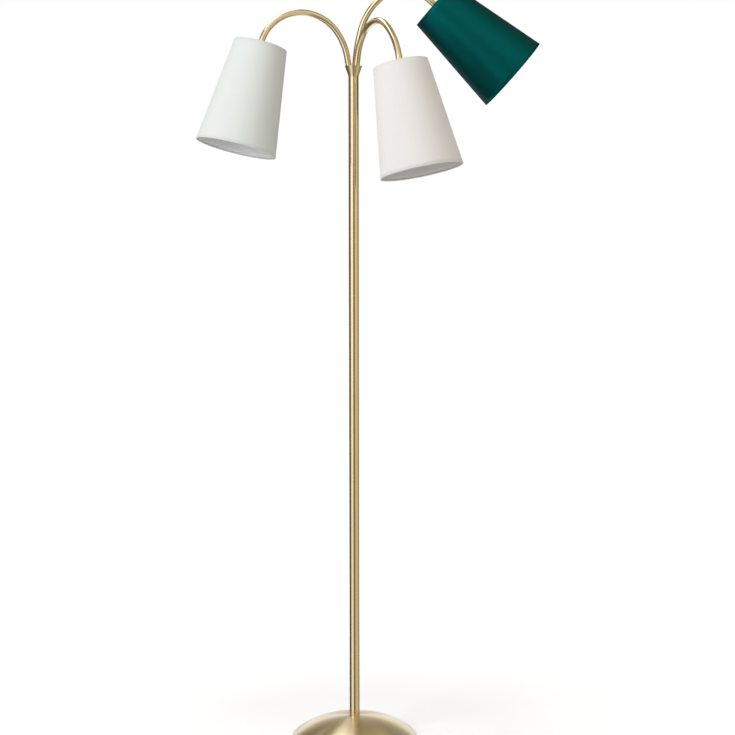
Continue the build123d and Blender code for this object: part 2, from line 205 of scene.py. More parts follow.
softLights = {
    "keyLight": {
        "power": 54.0, "colour": (0.97, 0.985, 1.04), "size": (1.6, 2.0),
        "place": (-2.1, -2.0, 1.9), "target": (0, 0, 1.0),
    },
    "fillLight": {
        "power": 5.6, "colour": (1, 0.92, 0.78), "size": (0.9, 1.4),
        "place": (1.35, -1.15, 1.25), "target": (0, 0, 1.1),
    },
    "topLight": {
        "power": 12.0, "colour": (1, 1, 1), "size": (2.4, 2.4),
        "place": (0, -0.4, 3.2), "target": (0, 0, 0.5),
    },
}
for name, light in softLights.items():
    lamp = bpy.data.lights.new(name, "AREA")
    lamp.color = light["colour"]
    lamp.energy = light["power"]
    lamp.shape = "RECTANGLE"
    lamp.size, lamp.size_y = light["size"]
    made = bpy.data.objects.new(name, lamp)
    toTarget = Vector(light["target"]) - Vector(light["place"])
    aimed = toTarget.to_track_quat("-Z", "Y").to_matrix().to_4x4()
    made.matrix_world = Matrix.Translation(light["place"]) @ aimed
    made.visible_glossy = False
    made.visible_camera = False
    scene.collection.objects.link(made)

# Cards that only the mirroring parts see. They stand on an arc about the pole and lean in over it, and some
# are drawn in along the floor. Corners are (distance, height), from foot to top.
atBase = (0.126, 0.004)
wallReach = 2.3
wallTop = (wallReach, 2.6)
roofMiddle = (1.45, 2.74)
roofRim = (0.55, 2.9)
roofCentre = (0.02, 2.9)


def fromFloor(top):
    return (atBase, (wallReach, 0.004), (wallReach, top))


def band(low, high):
    return ((wallReach, low), (wallReach, high))


wallEnds = fromFloor(2.6)
roofEnds = (wallTop, roofRim)
outerEnds = ((wallReach, 2.25), wallTop, roofMiddle)
innerEnds = (roofMiddle, roofRim)
backEnds = ((wallReach, 2.25), wallTop, roofRim)

# Angles are in degrees from the camera's side towards the right. Where foot is given, a card's strength goes
# from foot at the floor to 1 at fullHeight.
cards = {
    "cardKey": {"angles": (-72, -18), "colour": (1.71, 1.73, 1.60), "ends": wallEnds, "foot": 0.57},
    "cardFront": {"angles": (-18, 22), "colour": (0.24, 0.19, 0.10), "ends": fromFloor(1.3)},
    "cardAbove": {"angles": (-18, 22), "colour": (0.48, 0.43, 0.33), "ends": band(1.3, 2.1)},
    "cardHigh": {"angles": (-18, 22), "colour": (1.05, 1.02, 0.95), "ends": band(2.1, 2.6)},
    "cardFill": {"angles": (22, 88), "colour": (0.88, 0.82, 0.69), "ends": fromFloor(1.62), "foot": 0.76},
    "fillShade": {"angles": (22, 56), "colour": (0.45, 0.40, 0.31), "ends": band(1.62, 2.05)},
    "fillSide": {"angles": (56, 88), "colour": (0.68, 0.62, 0.50), "ends": band(1.62, 2.05)},
    "fillHigh": {"angles": (22, 88), "colour": (0.86, 0.80, 0.67), "ends": band(2.05, 2.6)},
    "cardLeft": {"angles": (-148, -72), "colour": (0.13, 0.12, 0.09), "ends": fromFloor(1.62)},
    "leftHigh": {"angles": (-148, -72), "colour": (0.28, 0.24, 0.17), "ends": band(1.62, 2.25)},
    "cardRight": {"angles": (88, 148), "colour": (0.33, 0.32, 0.29), "ends": fromFloor(2.25)},
    "roofLeft": {"angles": (-62, -4), "colour": (1.02, 1.00, 0.94), "ends": roofEnds},
    "roofRight": {"angles": (-4, 64), "colour": (0.80, 0.75, 0.62), "ends": roofEnds},
    "sideLeft": {"angles": (-110, -62), "colour": (0.14, 0.12, 0.08), "ends": outerEnds},
    "backLeft": {"angles": (-168, -116), "colour": (0.95, 0.90, 0.76), "ends": band(2.25, 2.6)},
    "backLeftRoof": {"angles": (-176, -110), "colour": (0.18, 0.16, 0.11), "ends": (wallTop, roofMiddle)},
    "overLeft": {"angles": (-176, -62), "colour": (2.20, 2.28, 2.30), "ends": innerEnds},
    "sideRight": {"angles": (64, 160), "colour": (0.50, 0.45, 0.33), "ends": outerEnds},
    "overRight": {"angles": (64, 160), "colour": (0.42, 0.38, 0.28), "ends": innerEnds},
    "crown": {"angles": (-180, 180), "colour": (0.30, 0.26, 0.18), "ends": (roofRim, roofCentre)},
    "cardBack": {"angles": (148, 212), "colour": (0.062, 0.057, 0.046), "ends": band(0.80, 2.25), "foot": 18.0},
    "overBack": {"angles": (160, 184), "colour": (0.20, 0.17, 0.12), "ends": backEnds},
}
cardSteps = 16
fullHeight = 2.2
for name, card in cards.items():
    points, faces = [], []
    rows = len(card["ends"])
    start, stop = card["angles"]
    for k in range(cardSteps + 1):
        angle = math.radians(start + (stop - start) * k / cardSteps)
        for reach, height in card["ends"]:
            points.append((reach * math.sin(angle), -reach * math.cos(angle), height))
        if k:
            first = (k - 1) * rows
            for low in range(first, first + rows - 1):
                faces.append((low, low + rows, low + rows + 1, low + 1))
    cardMaterial = bpy.data.materials.new(name)
    cardTree = bareTree(cardMaterial)
    cardHeight = addNode(cardTree, "ShaderNodeSeparateXYZ", {0: objectPlace(cardTree)}).outputs[2]
    cardStrength = spread(cardTree, cardHeight, card.get("foot", 1.0), 1.0, 0.0, fullHeight)
    cardFeeds = {"Color": (*card["colour"], 1), "Strength": cardStrength}
    cardGlow = addNode(cardTree, "ShaderNodeEmission", cardFeeds)
    addNode(cardTree, "ShaderNodeOutputMaterial", {"Surface": cardGlow.outputs[0]})
    made = meshObject(name, points, faces, cardMaterial)
    made.visible_camera = False
    made.visible_diffuse = False
    made.visible_shadow = False
    made.visible_transmission = False
print("studio lit")


# Satin brass. Its brush lines run round the lathe's axis, lengthwise or nowhere in particular.
brass = {
    "colour": (0.84, 0.69, 0.44, 1),
    "tarnish": (0.77, 0.61, 0.36, 1),
    "pale": (0.86, 0.73, 0.50, 1),
    "line": (0.45, 0.33, 0.17, 1),
    # The valley colour is painted shade: it darkens the grooves between a neck's windings.
    "valley": (0.20, 0.13, 0.055, 1),
    "tarnishShare": 0.7,
    "lineShare": 0.08,
    "grooveShadeShare": 0.25,
    "patinaScale": 9.0,
    "patinaEnds": (0.35, 0.75),
    "patinaRough": (-0.02, 0.03),
    "brushRough": 0.02,
    "valleyRough": 0.08,
    "lineStretch": 0.004,
    "bandStretch": 0.01,
    "lineDepth": 0.0006 * mm,
    "lineStrength": 0.4,
    "brushTurn": 0.25,
    "lacquer": 0.6,
    "lacquerRoughness": 0.12,
}
# How fine the brush lines are, then the broader bands between them
brushScales = {"rings": (1500.0, 90.0), "lengthwise": (1500.0, 130.0), "plain": (1400.0, 150.0)}


def satinBrass(name, brush, roughness, anisotropy=0.0, groove=None, colour=brass["colour"],
               lacquer=brass["lacquer"], lacquerRoughness=brass["lacquerRoughness"]):
    made, tree, shader = newMaterial(name)
    place = objectPlace(tree)
    lineSpace = bandSpace = place
    if brush == "rings":
        x, y, z = addNode(tree, "ShaderNodeSeparateXYZ", {0: place}).outputs
        squares = calc(tree, "ADD", calc(tree, "MULTIPLY", x, x), calc(tree, "MULTIPLY", y, y))
        ringFeeds = {0: calc(tree, "SQRT", squares), 1: z, 2: 0.0}
        lineSpace = bandSpace = addNode(tree, "ShaderNodeCombineXYZ", ringFeeds).outputs[0]
    elif brush == "lengthwise":
        lineSpace = stretched(tree, place, (1, 1, brass["lineStretch"]))
        bandSpace = stretched(tree, place, (1, 1, brass["bandStretch"]))
    lineScale, bandScale = brushScales[brush]
    lines = noise(tree, lineSpace, lineScale, 2.0)
    bands = noise(tree, bandSpace, bandScale, 2.0)
    patina = noise(tree, place, brass["patinaScale"], 4.0)
    worn = spread(tree, patina, 0.0, brass["tarnishShare"], *brass["patinaEnds"])
    tone = blendColour(tree, worn, colour, brass["tarnish"])
    tone = blendColour(tree, spread(tree, lines, 0.0, brass["lineShare"]), tone, brass["line"])
    wander = brass["brushRough"]
    bandRough = spread(tree, bands, roughness - wander, roughness + wander)
    rough = calc(tree, "ADD", spread(tree, lines, -wander, wander), bandRough)
    rough = calc(tree, "ADD", rough, spread(tree, patina, *brass["patinaRough"]))
    # Painted shade: the grooves between windings are darkened towards the valley colour, and are also made a
    # little rougher.
    if groove is not None:
        marked = addNode(tree, "ShaderNodeAttribute", attribute_name=groove, attribute_type="GEOMETRY")
        valley = marked.outputs["Fac"]
        tone = blendColour(tree, spread(tree, valley, 0.0, brass["grooveShadeShare"]), tone, brass["valley"])
        rough = calc(tree, "ADD", rough, spread(tree, valley, 0.0, brass["valleyRough"]))
    wire(tree, shader.inputs["Base Color"], tone)
    wire(tree, shader.inputs["Roughness"], rough)
    wire(tree, shader.inputs["Normal"], bump(tree, lines, brass["lineDepth"], brass["lineStrength"]))
    shader.inputs["Metallic"].default_value = 1.0
    shader.inputs["Coat Weight"].default_value = lacquer
    shader.inputs["Coat Roughness"].default_value = lacquerRoughness
    if anisotropy:
        shader.inputs["Anisotropic"].default_value = anisotropy
        shader.inputs["Anisotropic Rotation"].default_value = brass["brushTurn"]
        tangent = addNode(tree, "ShaderNodeTangent", direction_type="RADIAL", axis="Z")
        wire(tree, shader.inputs["Tangent"], tangent.outputs[0])
    return made


spunBrass = satinBrass("spunBrass", "rings", 0.34, 0.95, lacquer=1.0, lacquerRoughness=0.28)
poleBrass = satinBrass("poleBrass", "lengthwise", 0.14)
turnedBrass = satinBrass("turnedBrass", "rings", 0.20)
fittingBrass = satinBrass("fittingBrass", "plain", 0.24)
neckBrass = satinBrass("neckBrass", "plain", 0.15, groove="groove", colour=brass["pale"])


# Every other hard finish: a colour that wanders a little, with its own grain; depth in mm
plainLook = {"cloudScale": 35.0, "smoother": 0.06, "rougher": 0.08}


def plainFinish(name, colour, wander, roughness, metallic=0.0, grain=400.0, depth=0.01, coat=0.0):
    made, tree, shader = newMaterial(name)
    place = objectPlace(tree)
    cloud = noise(tree, place, plainLook["cloudScale"], 4.0)
    fine = noise(tree, place, grain)
    factor = calc(tree, "MULTIPLY", calc(tree, "ADD", cloud, fine), 0.5)
    wire(tree, shader.inputs["Base Color"], blendColour(tree, factor, (*colour, 1), (*wander, 1)))
    low, high = roughness - plainLook["smoother"], roughness + plainLook["rougher"]
    wire(tree, shader.inputs["Roughness"], spread(tree, cloud, low, high))
    wire(tree, shader.inputs["Normal"], bump(tree, fine, depth * mm))
    shader.inputs["Metallic"].default_value = metallic
    shader.inputs["Coat Weight"].default_value = coat
    return made


hardFinishes = {
    "plain_brass": {
        "colour": (0.78, 0.60, 0.31), "wander": (0.66, 0.48, 0.22), "roughness": 0.32, "metallic": 1.0,
    },
    "cast_weight": {
        "colour": (0.09, 0.09, 0.09), "wander": (0.15, 0.14, 0.13), "roughness": 0.72,
        "grain": 260.0, "depth": 0.12,
    },
    "zinc_steel": {
        "colour": (0.62, 0.63, 0.65), "wander": (0.52, 0.52, 0.53), "roughness": 0.34, "metallic": 1.0,
    },
    "inlet_rubber": {
        "colour": (0.035, 0.033, 0.03), "wander": (0.06, 0.056, 0.05), "roughness": 0.62, "grain": 900.0,
    },
    "terminal_plastic": {
        "colour": (0.80, 0.79, 0.74), "wander": (0.74, 0.72, 0.66), "roughness": 0.48,
    },
    "holder_plastic": {
        "colour": (0.80, 0.79, 0.76), "wander": (0.74, 0.73, 0.69), "roughness": 0.34, "coat": 0.15,
    },
    "contact_ceramic": {
        "colour": (0.84, 0.83, 0.80), "wander": (0.76, 0.75, 0.71), "roughness": 0.40, "grain": 600.0,
    },
    "white_wire": {
        "colour": (0.86, 0.86, 0.84), "wander": (0.80, 0.80, 0.78), "roughness": 0.26,
        "coat": 0.3, "grain": 300.0,
    },
    "bulb_metal": {
        "colour": (0.72, 0.72, 0.73), "wander": (0.60, 0.60, 0.62), "roughness": 0.30, "metallic": 1.0,
    },
    "frosted_glass": {
        "colour": (0.88, 0.88, 0.86), "wander": (0.84, 0.84, 0.82), "roughness": 0.30,
        "coat": 0.25, "depth": 0.004,
    },
}
finishes = {slot: plainFinish(slot, **finish) for slot, finish in hardFinishes.items()}
finishes["satin_brass"] = fittingBrass
ownFinish = {
    "base_cover": spunBrass,
    "lower_pole": poleBrass,
    "upper_pole": poleBrass,
    "arm_cup": turnedBrass,
    "arm_hub": turnedBrass,
}
for part in frame["record"]["subparts"]:
    node = nodes[part["node"]]
    finish = ownFinish.get(part["node"], finishes.get(part["material_slot"]))
    if finish is not None:
        node.data.materials.clear()
        node.data.materials.append(finish)
print("hard finishes on")


# Lathe: turns a profile of (radius, height) about a head's or the lamp's own axis.
# The profile runs so that the solid lies on its left, and closes on itself.
def lathe(name, profile, placing, around, material, flatPattern=None):
    points, faces, corners = [], [], []
    rows = len(profile)
    for k in range(around):
        turn = 2 * math.pi * k / around
        for radius, height in profile:
            points.append(placing @ Vector((radius * math.cos(turn), radius * math.sin(turn), height)))
    for k in range(around):
        for row in range(rows):
            after, above = (k + 1) % around, (row + 1) % rows
            faces.append((k * rows + row, after * rows + row, after * rows + above, k * rows + above))
            if flatPattern is not None:
                for step, spot in ((k, row), (k + 1, row), (k + 1, above), (k, above)):
                    corners.append(flatPattern(2 * math.pi * step / around, profile[spot][1]))
    made = meshObject(name, points, faces, material)
    if flatPattern is not None:
        layer = made.data.uv_layers.new(name="cloth")
        for loop, corner in zip(layer.data, corners):
            loop.uv = corner
    made.data.shade_smooth()
    return made


# Wound necks. Leans are from upright and bearings from +X, in degrees; radii and lengths in mm.
neck = {
    "radius": 6.0,
    "straight": 12.0,
    "tail": 6.0,
    "ribPitch": 2.1,
    "grooveDepth": 0.07,
    "grooveSharpness": 12.0,
    "around": 36,
    "step": 0.21,
    "split": 150.0,
    "knotTurn": 40,
    "curveSteps": 48,
}
hub = {"seatHeight": 1305.0, "seatRadius": 8.3, "seatLean": 12.0, "collar": 2.0}
# Each bend is the (lean, bearing) that it turns to, and its radius
arms = {
    "left": {
        "seat": 190,
        "bends": ((8.2, 197, 52), (33.6, 197, 112), (149.4, 197, 86), (165.9, 197, 66)),
    },
    "middle": {
        "seat": 310,
        "bends": ((12.3, 297, 91), (120.2, 297, 76.5), (157.4, 297, 128), (168.2, 341, 52)),
    },
    "right": {
        "seat": 70,
        "bends": ((15.5, 347, 198), (49.6, 347, 113), (128.4, 347, 72.5), (130.8, 5, 64)),
    },
}


def aim(lean, bearing):
    lean, bearing = math.radians(lean), math.radians(bearing)
    level = math.sin(lean)
    return Vector((level * math.cos(bearing), level * math.sin(bearing), math.cos(lean)))


# Knots of a neck's line: where each stretch starts, its heading there, and how far along it is
def neckKnots(side):
    arm = arms[side]
    heading = aim(hub["seatLean"], arm["seat"])
    centre = Vector((0, 0, hub["seatHeight"]))
    place = aim(90, arm["seat"]) * hub["seatRadius"] + centre + heading * hub["collar"]
    knots = [(place, heading, 0.0)]
    place = place + heading * neck["straight"]
    knots.append((place, heading, neck["straight"]))
    for lean, bearing, radius in arm["bends"]:
        turned = aim(lean, bearing)
        angle = heading.angle(turned)
        inward = (turned - heading * heading.dot(turned)).normalized()
        parts = 1 + int(math.degrees(angle) // neck["knotTurn"])
        for k in range(1, parts + 1):
            part = angle * k / parts
            spot = place + (heading * math.sin(part) + inward * (1 - math.cos(part))) * radius
            facing = heading * math.cos(part) + inward * math.sin(part)
            knots.append((spot, facing, knots[-1][2] + radius * angle / parts))
        place, heading = spot, turned
    knots.append((place + heading * neck["straight"], heading, knots[-1][2] + neck["straight"]))
    return knots


def neckCurve(side):
    knots = neckKnots(side)
    data = bpy.data.curves.new(f"{side}NeckLine", "CURVE")
    data.dimensions = "3D"
    data.resolution_u = neck["curveSteps"]
    spline = data.splines.new("BEZIER")
    spline.bezier_points.add(len(knots) - 1)
    for point, knot in zip(spline.bezier_points, knots):
        point.co = knot[0] * mm
        point.handle_left_type = point.handle_right_type = "FREE"
        point.handle_left = point.handle_right = knot[0] * mm
    for k in range(len(knots) - 1):
        (placeA, headingA, alongA), (placeB, headingB, alongB) = knots[k], knots[k + 1]
        angle, length = headingA.angle(headingB), alongB - alongA
        reach = length / 3  # a straight stretch
        if angle >= 1e-5:
            reach = 4 / 3 * math.tan(angle / 4) * length / angle
        spline.bezier_points[k].handle_right = (placeA + headingA * reach) * mm
        spline.bezier_points[k + 1].handle_left = (placeB - headingB * reach) * mm
    made = bpy.data.objects.new(f"{side}NeckLine", data)
    scene.collection.objects.link(made)
    return made, knots[-1][2]


# Keeps values from a geometry's points as attributes: returns the geometry, then each value
def capture(tree, geometry, items):
    node = addNode(tree, "GeometryNodeCaptureAttribute", domain="POINT")
    for name, (kind, value) in items.items():
        node.capture_items.new(kind, name)
    values = [geometry] + [value for kind, value in items.values()]
    for socket, value in zip(node.inputs, values):
        tree.links.new(value, socket)
    return node.outputs


# A wound tube along a curve: round wire lying in a helix, with a shallow valley between turns
def woundTubeTree():
    tree = bpy.data.node_groups.new("woundTube", "GeometryNodeTree")
    face = tree.interface
    face.new_socket("Geometry", in_out="INPUT", socket_type="NodeSocketGeometry")
    for name in ("Tube Radius", "Rib Pitch", "Groove Depth", "Groove Sharpness", "Step", "From", "To"):
        face.new_socket(name, in_out="INPUT", socket_type="NodeSocketFloat")
    face.new_socket("Around", in_out="INPUT", socket_type="NodeSocketInt")
    face.new_socket("Finish", in_out="INPUT", socket_type="NodeSocketMaterial")
    face.new_socket("Geometry", in_out="OUTPUT", socket_type="NodeSocketGeometry")
    given = addNode(tree, "NodeGroupInput").outputs
    length = addNode(tree, "GeometryNodeSplineParameter").outputs["Length"]
    middle = addNode(tree, "GeometryNodeInputPosition").outputs[0]
    evenFeeds = {"Curve": given["Geometry"], "Length": given["Step"]}
    even = addNode(tree, "GeometryNodeResampleCurve", evenFeeds, mode="LENGTH").outputs[0]
    kept = capture(tree, even, {"along": ("FLOAT", length), "middle": ("VECTOR", middle)})
    cutFeeds = {"Curve": kept[0], 4: given["From"], 5: given["To"]}
    cut = addNode(tree, "GeometryNodeTrimCurve", cutFeeds, mode="LENGTH")
    circleFeeds = {"Resolution": given["Around"], "Radius": given["Tube Radius"]}
    circle = addNode(tree, "GeometryNodeCurvePrimitiveCircle", circleFeeds).outputs[0]
    turn = addNode(tree, "GeometryNodeSplineParameter").outputs["Factor"]
    keptTurn = capture(tree, circle, {"turn": ("FLOAT", turn)})
    tubeFeeds = {"Curve": cut.outputs[0], "Profile Curve": keptTurn[0], "Fill Caps": True}
    tube = addNode(tree, "GeometryNodeCurveToMesh", tubeFeeds)
    phase = calc(tree, "ADD", calc(tree, "DIVIDE", kept[1], given["Rib Pitch"]), keptTurn[1])
    across = calc(tree, "SUBTRACT", calc(tree, "MULTIPLY", calc(tree, "FRACT", phase), 2.0), 1.0)
    valley = calc(tree, "POWER", calc(tree, "ABSOLUTE", across), given["Groove Sharpness"])
    here = addNode(tree, "GeometryNodeInputPosition").outputs[0]
    offset = addNode(tree, "ShaderNodeVectorMath", {0: here, 1: kept[2]}, operation="SUBTRACT")
    sunk = calc(tree, "MULTIPLY", calc(tree, "MULTIPLY", valley, given["Groove Depth"]), -1.0)
    shiftFeeds = {0: offset.outputs[0], "Scale": calc(tree, "DIVIDE", sunk, given["Tube Radius"])}
    shift = addNode(tree, "ShaderNodeVectorMath", shiftFeeds, operation="SCALE").outputs[0]
    wound = addNode(tree, "GeometryNodeSetPosition", {"Geometry": tube.outputs[0], "Offset": shift})
    # The valley is kept as the groove attribute, which the neck's finish reads to paint shade into the grooves.
    markFeeds = {"Geometry": wound.outputs[0], "Name": "groove", "Value": valley}
    marked = addNode(tree, "GeometryNodeStoreNamedAttribute", markFeeds, data_type="FLOAT", domain="POINT")
    smooth = addNode(tree, "GeometryNodeSetShadeSmooth", {0: marked.outputs[0]})
    real = addNode(tree, "GeometryNodeRealizeInstances", {0: smooth.outputs[0]})
    finishFeeds = {"Geometry": real.outputs[0], "Material": given["Finish"]}
    finished = addNode(tree, "GeometryNodeSetMaterial", finishFeeds)
    addNode(tree, "NodeGroupOutput", {0: finished.outputs[0]})
    return tree


# Runs a node tree on a source object, with inputs by name, and keeps the result as a plain mesh
def grow(source, tree, name, inputs):
    modifier = source.modifiers.new(name, "NODES")
    modifier.node_group = tree
    for item in tree.interface.items_tree:
        if item.item_type == "SOCKET" and item.in_out == "INPUT" and item.name in inputs:
            modifier[item.identifier] = inputs[item.name]
    bpy.context.view_layer.update()
    solved = source.evaluated_get(bpy.context.evaluated_depsgraph_get())
    mesh = bpy.data.meshes.new_from_object(solved)
    mesh.name = name
    source.modifiers.remove(modifier)
    made = bpy.data.objects.new(name, mesh)
    scene.collection.objects.link(made)
    return made


# Each neck is cut at the split into a lower and an upper piece.
# A head's matrix has its origin in the middle of the shade's top, with +Z up the neck.
woundTube = woundTubeTree()
heads = {}
for side in sides:
    line, length = neckCurve(side)
    common = {
        "Tube Radius": neck["radius"] * mm,
        "Rib Pitch": neck["ribPitch"] * mm,
        "Groove Depth": neck["grooveDepth"] * mm,
        "Groove Sharpness": neck["grooveSharpness"],
        "Step": neck["step"] * mm,
        "Around": neck["around"],
        "Finish": neckBrass,
    }
    split = neck["split"] * mm
    lower = grow(line, woundTube, f"{side}NeckLower", {**common, "From": 0.0, "To": split})
    upper = grow(line, woundTube, f"{side}NeckUpper", {**common, "From": split, "To": length * mm})
    bpy.data.objects.remove(line)
    for piece in (lower, upper):
        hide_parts(f"{side}_gooseneck")
    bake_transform(lower)
    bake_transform(upper)
    place, heading = neckKnots(side)[-1][:2]
    axisUp = -heading
    level = Vector((0, 0, 1)).cross(heading).normalized()
    facing = Matrix((level, axisUp.cross(level), axisUp)).transposed().to_4x4()
    heads[side] = Matrix.Translation((place - heading * neck["tail"]) * mm) @ facing
    faceCount = len(lower.data.polygons) + len(upper.data.polygons)
    print(side, "neck wound,", round(length, 1), "mm,", faceCount, "faces")


# Shades: cloth stretched on a cone, with its map the flat pattern it was cut to, in metres. The rest is in
# mm; glueGap is between cloth and liner, and ends of liner and seam stop endInset short of the cloth's.
shade = {
    "topRadius": 51.0,
    "bottomRadius": 77.5,
    "height": 202.0,
    "around": 160,
    "rows": 24,
    "cloth": 0.45,
    "liner": 0.75,
    "glueGap": 0.02,
    "endInset": 1.0,
}
hem = {
    "bead": 1.15,
    "proud": 0.25,
    "over": 0.12,
    "turnIn": 2.4,
    "turnBack": 2.2,
    "thickness": 0.25,
    "gap": 0.05,
    "fromAngle": -10,
    "sweep": 200,
    "steps": 12,
}
lap = {"width": 9.0, "proud": 0.35, "sunk": 0.2, "edge": 0.05, "rows": 24, "columns": 8}
cone = math.atan((shade["bottomRadius"] - shade["topRadius"]) / shade["height"])


def conePattern(front):
    def place(turn, height):
        apart = (turn - front + math.pi) % (2 * math.pi) - math.pi
        reach = (shade["topRadius"] - height / mm * math.tan(cone)) / math.sin(cone) * mm
        return (reach * math.sin(apart * math.sin(cone)), reach * math.cos(apart * math.sin(cone)))
    return place


# Woven cloth: threads a set width apart, slubs longer than they are wide, a slow change of tone, and painted
# shade in the gaps between threads
weave = {
    "slubLong": 14,
    "slubFine": 900,
    "slubRoughness": 0.6,
    "slubEnds": (0.3, 0.7),
    "cloudScale": 16.0,
    "cloudEnds": (0.35, 0.65),
    "roughWander": 0.06,
    "threadGapShade": 0.72,
    "threadGapShadeShare": 0.14,
    "depth": 0.09 * mm,
    "strength": 0.55,
    "sheenRoughness": 0.4,
}


def makeCloth(name, colour, dark, light, thread, slub, roughness, sheen, sheenTint,
              gloss, glossTint, lustre):
    made, tree, shader = newMaterial(name)
    flat = addNode(tree, "ShaderNodeUVMap", uv_map="cloth").outputs[0]
    u, v = addNode(tree, "ShaderNodeSeparateXYZ", {0: flat}).outputs[:2]
    warp = calc(tree, "SINE", calc(tree, "MULTIPLY", u, 2 * math.pi / thread))
    weft = calc(tree, "SINE", calc(tree, "MULTIPLY", v, 2 * math.pi / thread))
    woven = spread(tree, calc(tree, "MULTIPLY", warp, weft), 0.0, 1.0, -1.0, 1.0)
    wide, fine, uneven = weave["slubLong"], weave["slubFine"], weave["slubRoughness"]
    across = noise(tree, stretched(tree, flat, (wide, fine, 1)), 1.0, roughness=uneven)
    down = noise(tree, stretched(tree, flat, (fine, wide, 1)), 1.0, roughness=uneven)
    cloud = noise(tree, flat, weave["cloudScale"])
    threads = calc(tree, "ADD", calc(tree, "MULTIPLY", across, slub), calc(tree, "MULTIPLY", down, 1 - slub))
    # Painted shade: the gaps between threads are darkened towards a dimmer copy of the dark tone.
    gap = tuple(weave["threadGapShade"] * channel for channel in dark[:3]) + (1,)
    tone = blendColour(tree, spread(tree, threads, 0.0, 1.0, *weave["slubEnds"]), dark, light)
    tone = blendColour(tree, spread(tree, cloud, *weave["cloudEnds"]), tone, colour)
    tone = blendColour(tree, spread(tree, woven, weave["threadGapShadeShare"], 0.0), tone, gap)
    wire(tree, shader.inputs["Base Color"], tone)
    wander = weave["roughWander"]
    rough = spread(tree, threads, roughness - wander, roughness + wander)
    wire(tree, shader.inputs["Roughness"], rough)
    height = calc(tree, "ADD", calc(tree, "MULTIPLY", woven, 0.5), calc(tree, "MULTIPLY", threads, 0.5))
    wire(tree, shader.inputs["Normal"], bump(tree, height, weave["depth"], weave["strength"]))
    shader.inputs["Sheen Weight"].default_value = sheen
    shader.inputs["Sheen Roughness"].default_value = weave["sheenRoughness"]
    shader.inputs["Sheen Tint"].default_value = sheenTint
    shader.inputs["Specular IOR Level"].default_value = gloss
    shader.inputs["Specular Tint"].default_value = glossTint
    shader.inputs["Metallic"].default_value = lustre
    return made


cloths = {
    "left": {
        "colour": (0.78, 0.81, 0.78, 1), "dark": (0.73, 0.76, 0.72, 1), "light": (0.83, 0.85, 0.82, 1),
        "thread": 0.62 * mm, "slub": 0.7, "roughness": 0.82, "sheen": 0.05, "sheenTint": (0.9, 1.0, 0.93, 1),
        "gloss": 0.2, "glossTint": (1, 1, 1, 1), "lustre": 0.0,
    },
    "middle": {
        "colour": (0.86, 0.82, 0.80, 1), "dark": (0.82, 0.78, 0.75, 1), "light": (0.90, 0.87, 0.85, 1),
        "thread": 0.55 * mm, "slub": 0.4, "roughness": 0.84, "sheen": 0.05, "sheenTint": (1.0, 0.95, 0.93, 1),
        "gloss": 0.2, "glossTint": (1, 1, 1, 1), "lustre": 0.0,
    },
    "right": {
        "colour": (0.002, 0.104, 0.111, 1), "dark": (0.001, 0.086, 0.092, 1),
        "light": (0.004, 0.125, 0.133, 1),
        "thread": 0.40 * mm, "slub": 0.5, "roughness": 0.33, "sheen": 0.0, "sheenTint": (0.2, 0.8, 0.8, 1),
        "gloss": 0.15, "glossTint": (0.0, 0.2, 0.2, 1), "lustre": 0.75,
    },
}
paleLiner = ((0.84, 0.84, 0.84), (0.79, 0.79, 0.80))
# The middle liner is a darker copy of the same pale liner: painted shade inside the middle shade.
linerTones = {"left": paleLiner, "middle": ((0.76, 0.73, 0.73), (0.71, 0.69, 0.69)), "right": paleLiner}
linerLook = {"roughness": 0.5, "grain": 700.0, "depth": 0.006}


# The cone's radius, in metres, at a height below the top and an inset from the cloth's outside, in mm
def coneRadius(height, inset=0.0):
    return (shade["topRadius"] - height * math.tan(cone) - inset / math.cos(cone)) * mm


def coneWall(outer, inner, high, low):
    rows = shade["rows"]
    heights = [high + (low - high) * k / rows for k in range(rows + 1)]
    outside = [(coneRadius(h, outer), h * mm) for h in heights]
    inside = [(coneRadius(h, inner), h * mm) for h in heights]
    return inside + outside[::-1]


# Hem: the cloth is rolled over the wire's edge and turned in behind it
def hemProfile(edge, inward):
    bead = hem["bead"]
    behind = shade["cloth"] + shade["liner"] + hem["gap"]
    middle = (coneRadius(edge, bead - hem["proud"]) / mm, edge + inward * (bead - hem["over"]))
    loop = []
    for k in range(hem["steps"] + 1):
        turn = math.radians(hem["fromAngle"] + hem["sweep"] * k / hem["steps"])
        loop.append((middle[0] + bead * math.cos(turn), middle[1] - inward * bead * math.sin(turn)))
    stop, back = edge + inward * hem["turnIn"], edge + inward * hem["turnBack"]
    loop.append((coneRadius(stop, behind + hem["thickness"]) / mm, stop))
    loop.append((coneRadius(stop, behind) / mm, stop))
    loop.append((coneRadius(back, behind) / mm, back))
    loop = [(radius * mm, height * mm) for radius, height in loop]
    return loop if inward < 0 else loop[::-1]


